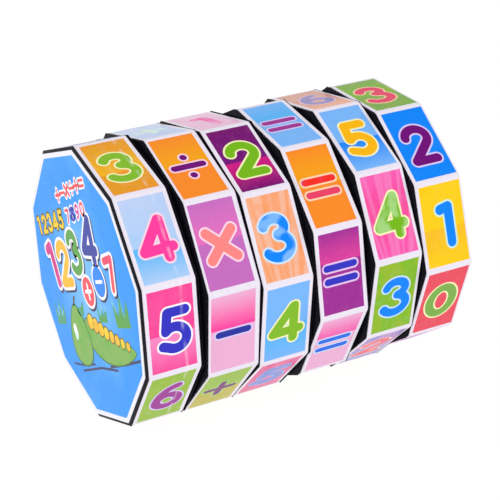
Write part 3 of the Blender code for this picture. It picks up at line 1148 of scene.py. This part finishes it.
def sticker_base(node, outward):
    """A ten-sided sticker with a cut edge and a printed ground inside a white border."""
    size = settings().sticker
    low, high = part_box(node)
    middle = (low + high) / 2
    corners = [Vector((v.co.y - middle.y, v.co.z - middle.z))
               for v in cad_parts[node].data.vertices]
    reach = max(corner.length for corner in corners)
    turn = min((math.atan2(c.x, c.y) for c in corners if c.length > reach - NEAR),
               key=abs)
    base = cylinder(f"face_{node}", SIDES, reach, 0, high.x - low.x - size.sunk)
    with Editing(base) as editing:
        editing.pick("FACE", lambda face: face.normal.z > 0.9)
        bpy.ops.mesh.inset(thickness=size.border, use_even_offset=True)
        editing.pick("EDGE", lambda edge: min(v.co.xy.length for v in edge.verts)
                     > reach - MM / 10 and min(v.co.z for v in edge.verts) > MM / 20)
        bpy.ops.mesh.bevel(offset=size.edge_round, segments=2)
    printed = base.data.attributes.new("printed", "FLOAT", "FACE")
    inner = (reach - size.border / math.cos(HALF_STEP)) * 1.001
    for face in base.data.polygons:
        far = max(base.data.vertices[v].co.xy.length for v in face.vertices)
        printed.data[face.index].value = float(face.normal.z > 0.9 and far < inner)
    up, side = along(turn)
    if outward < 0:
        side = -side
    inside = low.x if outward > 0 else high.x
    base.data.transform(matrix_of(side, up, Vector((outward, 0, 0)),
                                  Vector((inside, middle.y, middle.z))))
    return base, middle


class Picture:
    """A picture on a sticker: flat plates in layers, each a little above the last."""

    def __init__(self, node, middle, outward, tilt, squeeze=1.0, shift=0.0):
        size = settings().sticker
        self.squeeze = squeeze
        self.shift = shift
        low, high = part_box(node)
        face = low.x + size.sunk if outward < 0 else high.x - size.sunk
        right = Vector((0, outward, 0))
        turn = Matrix.Rotation(tilt * outward, 3, "X")
        self.place = matrix_of(turn @ right, turn @ Vector((0, 0, 1)),
                               Vector((outward, 0, 0)),
                               Vector((face, middle.y, middle.z)))
        self.step = size.ink_step / MM
        self.cases = {}
        self.parts = {}

    def put(self, x, y, layer, turn=0.0, scale=1.0):
        """A matrix for a drawing at (x, y) mm, turned by degrees, on a layer."""
        spot = Vector((self.squeeze * x + self.shift, y, (layer - 1) * self.step))
        return (self.place @ Matrix.Translation(spot * MM)
                @ Matrix.Rotation(math.radians(turn), 4, "Z")
                @ Matrix.Diagonal((scale, scale, 1, 1)))

    def keep(self, part, plate, matrix, first, second=None):
        """Colour a finished plate and file it under one part of the picture."""
        plate.data.transform(matrix @ Matrix.Scale(MM, 4))
        paint_faces(plate, "ink", ink(first))
        paint_faces(plate, "second_ink", ink(second or first))
        self.parts.setdefault(part, []).append(plate)

    def shape(self, part, edge, x, y, layer, first, second=None, turn=0.0):
        """A filled outline."""
        plate = flat_plate(part, edge, 2 * self.step)
        self.keep(part, plate, self.put(x, y, layer, turn), first, second)

    def line(self, part, points, half, layer, first, x=0.0, y=0.0):
        """A stroke with round ends."""
        edge = stroke_edge(points, half, settings().cap_steps)
        self.shape(part, edge, x, y, layer, first)

    def sign(self, part, sign, x, y, layer, first, second=None, grow=0.0, turn=0.0,
             scale=1.0):
        """A numeral or sign, grown by a width for its outline."""
        key = round(grow / scale, 4)
        if key not in self.cases:
            self.cases[key] = SignCase(key, 2 * self.step)
        matrix = self.put(x, y, layer, turn, scale)
        plate = self.cases[key].copy(sign, matrix, first, second)
        self.parts.setdefault(part, []).append(plate)

    def finish(self, body, prefix):
        material = finish_named("printed_ink", printed_ink)
        for case in self.cases.values():
            case.clear()
        for part, plates in self.parts.items():
            whole = joined(f"{prefix}_{part}", plates)
            wear(whole, material)
            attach(whole, body)


def disc(radius, steps=40):
    """A circle's outline."""
    return arc(0, 0, radius, radius, 0, 360 - 360 / steps, steps - 1)


def tuft(wide, high):
    """The outline of a tuft of grass: three pointed blades on a flat foot."""
    return [(wide * across, high * up) for across, up in (
        (-0.46, 0.0), (-0.5, 0.88), (-0.2, 0.34), (0.06, 1.0), (0.17, 0.36),
        (0.5, 0.8), (0.46, 0.0))]


def pear_edge(wide, high, grow, steps=40):
    """A pear's outline, broad below and narrow above."""
    edge = []
    for i in range(steps):
        turn = 2 * math.pi * i / steps
        swell = 1 - 0.34 * math.sin(turn)
        edge.append(((wide + grow) * math.cos(turn) * swell, (high + grow) * math.sin(turn)))
    return edge


def pod_edge(length_mm, high, grow, steps=36):
    """A pea pod's outline, fat at its left and drawn out to a point at its right."""
    top, bottom = [], []
    for i in range(steps + 1):
        share = i / steps
        x = (share - 0.5) * (length_mm + 2 * grow)
        swell = math.sin(math.pi * share ** 0.62) ** 0.62
        bow = -1.6 * math.sin(math.pi * share)
        top.append((x, bow + swell * (high * 0.46 + grow)))
        bottom.append((x, bow - swell * (high * 0.54 + grow)))
    return top + bottom[-2:0:-1]


def number_row(picture, part, signs, start, pitch, tones, outline, layer, scale):
    """A row of small signs, each with its outline."""
    for i, sign in enumerate(signs):
        x = start[0] + pitch[0] * i
        y = start[1] + pitch[1] * i
        picture.sign(f"{part}_outlines", sign, x, y, layer, outline, grow=0.42, scale=scale)
        picture.sign(part, sign, x, y, layer + 1, tones[i % len(tones)], scale=scale)


def big_sign(picture, sign, x, y, tone, second, turn=0.0, scale=1.0):
    """A large numeral with a white outline and a dark shadow down to its right."""
    picture.sign("shadows", sign, x + 0.5, y - 0.5, 1, "shadow", grow=0.75, turn=turn,
                 scale=scale)
    picture.sign("outlines", sign, x, y, 2, "white", grow=0.7, turn=turn, scale=scale)
    picture.sign("numerals", sign, x, y, 3, tone, second, turn=turn, scale=scale)


def button(picture, x, y, radius, tone, sign):
    """A round button with a white rim and a white sign."""
    picture.shape("shadows", disc(radius + 0.75), x + 0.5, y - 0.5, 1, "shadow")
    picture.shape("outlines", disc(radius + 0.65), x, y, 2, "white")
    picture.shape("numerals", disc(radius), x, y, 3, tone)
    picture.sign("button_signs", sign, x, y, 4, "white", scale=0.52)


class PUZZLE_OT_left_sticker(bpy.types.Operator):
    """Model the decorated end sticker with its numbers, grass and pea pod"""
    bl_idname = "puzzle.left_sticker"
    bl_label = "Left end sticker"

    def execute(self, context):
        node = "left_end_sticker"
        base, middle = sticker_base(node, -1)
        wear(base, finish_named("printed_end_sticker", sticker_print))
        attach(base, ROOT_BODY)
        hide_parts(node)

        picture = Picture(node, middle, -1, settings().sticker.tilt, 0.93, 1.3)
        number_row(picture, "signs_row", ("plus", "minus", "times", "divide", "plus", "equals"),
                   (-5.8, 20.9), (3.6, 0.28), ("coral",), "white", 1, 0.40)
        number_row(picture, "yellow_row", ("1", "2", "3", "4", "5"),
                   (-25.0, 15.0), (4.3, 0.14), ("sunflower",), "olive", 1, 0.42)
        number_row(picture, "bright_row", ("7", "8", "9", "0"),
                   (-2.0, 15.9), (3.7, 0.3), ("raspberry", "indigo", "fuchsia", "coral"),
                   "white", 1, 0.33)
        big_sign(picture, "1", -21.2, 5.4, "fuchsia", "magenta", 8, 1.08)
        big_sign(picture, "2", -12.6, 5.6, "marigold", "amber", 0, 1.05)
        big_sign(picture, "3", -3.0, 7.8, "fern", "fern", 4, 1.0)
        big_sign(picture, "4", 8.2, 10.2, "navy", "navy", -6, 1.10)
        button(picture, 0.6, -1.2, 3.3, "coral", "plus")
        button(picture, 9.4, 0.8, 3.4, "azure", "minus")
        big_sign(picture, "7", 18.2, 2.2, "raspberry", "coral", 6, 0.78)

        for x, y, wide, high in ((-24.2, -8.6, 6.2, 6.4), (19.4, -9.4, 8.8, 7.8),
                                 (6.6, -8.2, 5.4, 4.4)):
            picture.shape("grass_tips", tuft(wide, high), x, y, 1, "teal_tip", "sea_green")
            picture.shape("grass", tuft(wide, high * 0.72), x, y, 2, "sea_green", "fern")
        for ends, half in ((((-15.0, -19.6), (-2.0, -18.6), (8.0, -18.9)), 0.28),
                           (((4.0, -18.2), (14.0, -17.4), (23.0, -16.4)), 0.3),
                           (((-20.5, -18.0), (-14.0, -18.3), (-6.0, -17.9)), 0.24)):
            picture.line("ground_lines", ends, half, 1, "shadow")

        pod_x, pod_y, turn = 7.8, -12.0, 11.0
        picture.shape("pod_edge", pod_edge(29.5, 8.2, 0.35), pod_x, pod_y, 2, "pod_dark",
                      turn=-turn)
        picture.shape("pod", pod_edge(29.5, 8.2, 0.0), pod_x, pod_y, 3, "pod", "grass",
                      turn=-turn)
        for i in range(8):
            share = i / 7
            x = pod_x - 10.6 + 22.0 * share
            y = pod_y + 4.0 - 5.4 * share ** 1.1 - 0.5 * math.sin(math.pi * share)
            radius = 1.75 - 0.75 * share
            picture.shape("pea_edges", disc(radius + 0.28, 28), x, y, 4, "olive")
            picture.shape("peas", disc(radius, 28), x, y, 5, "sunflower", "amber")
        picture.shape("pear_edge", pear_edge(5.9, 7.0, 0.4), -12.4, -11.2, 5, "pod_dark")
        picture.shape("pear", pear_edge(5.9, 7.0, 0.0), -12.4, -11.2, 6, "pod", "grass")
        picture.shape("pear_glints", arc(0, 0, 1.2, 2.0, 0, 350, 24), -15.2, -10.4, 7,
                      "mint", "white")
        picture.line("pear_stalk", arc(2.4, 0, 2.4, 3.2, 180, 120), 0.42, 5, "olive",
                     x=-12.4, y=-5.2)
        picture.shape("pear_leaf", pod_edge(5.0, 2.4, 0.0), -8.2, -4.2, 6, "fern", "sea_green",
                      turn=18.0)
        picture.finish(ROOT_BODY, "left_print")
        return {"FINISHED"}


class PUZZLE_OT_right_sticker(bpy.types.Operator):
    """Model the plain end sticker with the four signs round an equals sign"""
    bl_idname = "puzzle.right_sticker"
    bl_label = "Right end sticker"

    def execute(self, context):
        node = "right_end_sticker"
        body = body_of_ring(len(RINGS) - 1)
        base, middle = sticker_base(node, 1)
        wear(base, finish_named("printed_end_sticker", sticker_print))
        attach(base, body)
        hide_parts(node)

        picture = Picture(node, middle, 1, ring_turn(RINGS[-1]) + HALF_STEP)
        corners = (("plus", "coral"), ("minus", "amber"), ("times", "fern"),
                   ("divide", "fuchsia"))
        for i, (sign, tone) in enumerate(corners):
            turn = math.radians(45 + 90 * i)
            x, y = 15.5 * math.cos(turn), 15.5 * math.sin(turn)
            picture.shape("shadows", disc(7.0), x + 0.5, y - 0.5, 1, "shadow")
            picture.shape("outlines", disc(6.9), x, y, 2, "white")
            picture.shape("buttons", disc(6.2), x, y, 3, tone)
            picture.sign("button_signs", sign, x, y, 4, "white", scale=1.05)
        picture.sign("shadows", "equals", 0.5, -0.5, 1, "shadow", grow=0.8, scale=1.1)
        picture.sign("outlines", "equals", 0, 0, 2, "white", grow=0.75, scale=1.1)
        picture.sign("buttons", "equals", 0, 0, 3, "indigo", scale=1.1)
        picture.finish(body, "right_print")
        return {"FINISHED"}


# ---- Spindle parts ---------------------------------------------------------------------

class PUZZLE_OT_spindle_parts(bpy.types.Operator):
    """Give the spindle, washer, screw and cap their finishes"""
    bl_idname = "puzzle.spindle_parts"
    bl_label = "Spindle parts"

    def execute(self, context):
        finishes = {
            "spindle": finish_named("milky_spindle_plastic", spindle_plastic),
            "spindle_washer": finish_named("plated_steel", turned_steel),
            "spindle_screw": finish_named("plated_steel", turned_steel),
            "right_end_cap": finish_named("moulded_black_plastic", black_plastic),
        }
        for node, material in finishes.items():
            wear(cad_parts[node], material)
        return {"FINISHED"}


# ---- Studio ----------------------------------------------------------------------------

# Each lamp's name, place, side in metres and power in watts.
LAMPS = (("key", (-0.45, -0.55, 0.75), 0.7, 2.6),
         ("fill", (0.7, -0.6, 0.35), 0.8, 0.9),
         ("side", (-0.9, 0.1, 0.2), 0.8, 1.6))
AIM_MM = (0.4, -0.7, -0.8)                # the point that the camera looks at


def studio_floor(height, size):
    """A plain white floor that glows a little, so that its shadows stay faint."""
    bpy.ops.object.select_all(action="DESELECT")
    bpy.ops.mesh.primitive_plane_add(size=size, location=(0, 0, height))
    floor = started("floor")
    finish = Finish("white_floor")
    tone = finish.noise(finish.place(), 0.01, 1.0)
    finish.set(Base_Color=finish.mix(tone, (0.10, 0.10, 0.10, 1), (0.11, 0.11, 0.11, 1)),
               Roughness=0.9, Specular_IOR_Level=0.0,
               Emission_Color=(1, 1, 1, 1), Emission_Strength=0.94)
    wear(floor, finish.material)
    floor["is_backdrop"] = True


def soft_box(name, place, size, power):
    """A square area light that points at the toy."""
    lamp = bpy.data.lights.new(name, "AREA")
    lamp.shape = "SQUARE"
    lamp.size = size
    lamp.energy = power
    light = bpy.data.objects.new(name, lamp)
    light.location = place
    light.rotation_euler = (-Vector(place)).to_track_quat("-Z", "Y").to_euler()
    bpy.context.scene.collection.objects.link(light)


def surroundings(strength):
    """White surroundings: full white to the eye, a little dimmer as light."""
    world = bpy.data.worlds.new("white_surroundings")
    world.use_nodes = True
    nodes, links = world.node_tree.nodes, world.node_tree.links
    back = nodes["Background"]
    back.inputs["Color"].default_value = (1, 1, 1, 1)
    seen = nodes.new("ShaderNodeLightPath")
    level = nodes.new("ShaderNodeMapRange")
    level.inputs["To Min"].default_value = strength
    level.inputs["To Max"].default_value = 1.0
    links.new(seen.outputs["Is Camera Ray"], level.inputs["Value"])
    links.new(level.outputs[0], back.inputs["Strength"])
    bpy.context.scene.world = world


class PUZZLE_OT_studio(bpy.types.Operator):
    """Add the floor, the lights and the camera"""
    bl_idname = "puzzle.studio"
    bl_label = "Studio"

    def execute(self, context):
        studio = settings().studio
        studio_floor(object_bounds()[0].z, studio.floor_size)
        surroundings(studio.sky)
        for lamp in LAMPS:
            soft_box(*lamp)
        context.scene.view_settings.view_transform = "Standard"

        azimuth, elevation = studio.azimuth, studio.elevation
        back = Vector((-math.sin(azimuth) * math.cos(elevation),
                       -math.cos(azimuth) * math.cos(elevation), math.sin(elevation)))
        aim = Vector(AIM_MM) * MM
        lens = bpy.data.cameras.new("camera")
        lens.lens = studio.lens_mm
        lens.clip_start = 0.01
        camera = bpy.data.objects.new("camera", lens)
        camera.location = aim + back * studio.distance
        camera.rotation_euler = (-back).to_track_quat("-Z", "Y").to_euler()
        context.scene.collection.objects.link(camera)
        context.scene.camera = camera
        return {"FINISHED"}


# ---- Panel and registration ------------------------------------------------------------

OPERATORS = (PUZZLE_OT_ring_shells, PUZZLE_OT_wrap_labels, PUZZLE_OT_signs,
             PUZZLE_OT_left_sticker, PUZZLE_OT_right_sticker, PUZZLE_OT_spindle_parts,
             PUZZLE_OT_studio)


class PUZZLE_PT_sidebar(bpy.types.Panel):
    """The toy's sizes, colours and building steps"""
    bl_idname = "PUZZLE_PT_sidebar"
    bl_label = "Arithmetic Cylinder"
    bl_space_type = "VIEW_3D"
    bl_region_type = "UI"
    bl_category = "Cylinder"

    def draw(self, context):
        layout = self.layout
        for operator in OPERATORS:
            layout.operator(operator.bl_idname)
        for group in ("moulding", "label", "sticker", "studio", "plastics", "inks"):
            column = layout.box().column(heading=group.capitalize())
            values = getattr(context.scene.arithmetic_cylinder, group)
            for name in values.__annotations__:
                column.prop(values, name)
        layout.prop(context.scene.arithmetic_cylinder, "cap_steps")


GROUPS = (MouldingSizes, LabelSizes, StickerSizes, StudioSizes, InkColours, PlasticColours,
          CylinderSettings)


def register():
    for group in (*GROUPS, *OPERATORS, PUZZLE_PT_sidebar):
        bpy.utils.register_class(group)
    bpy.types.Scene.arithmetic_cylinder = PointerProperty(type=CylinderSettings)


def unregister():
    del bpy.types.Scene.arithmetic_cylinder
    for group in reversed((*GROUPS, *OPERATORS, PUZZLE_PT_sidebar)):
        bpy.utils.unregister_class(group)


def main():
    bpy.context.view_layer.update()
    register()
    for operator in OPERATORS:
        getattr(bpy.ops.puzzle, operator.bl_idname.split(".")[1])()


if __name__ == "__main__":
    main()
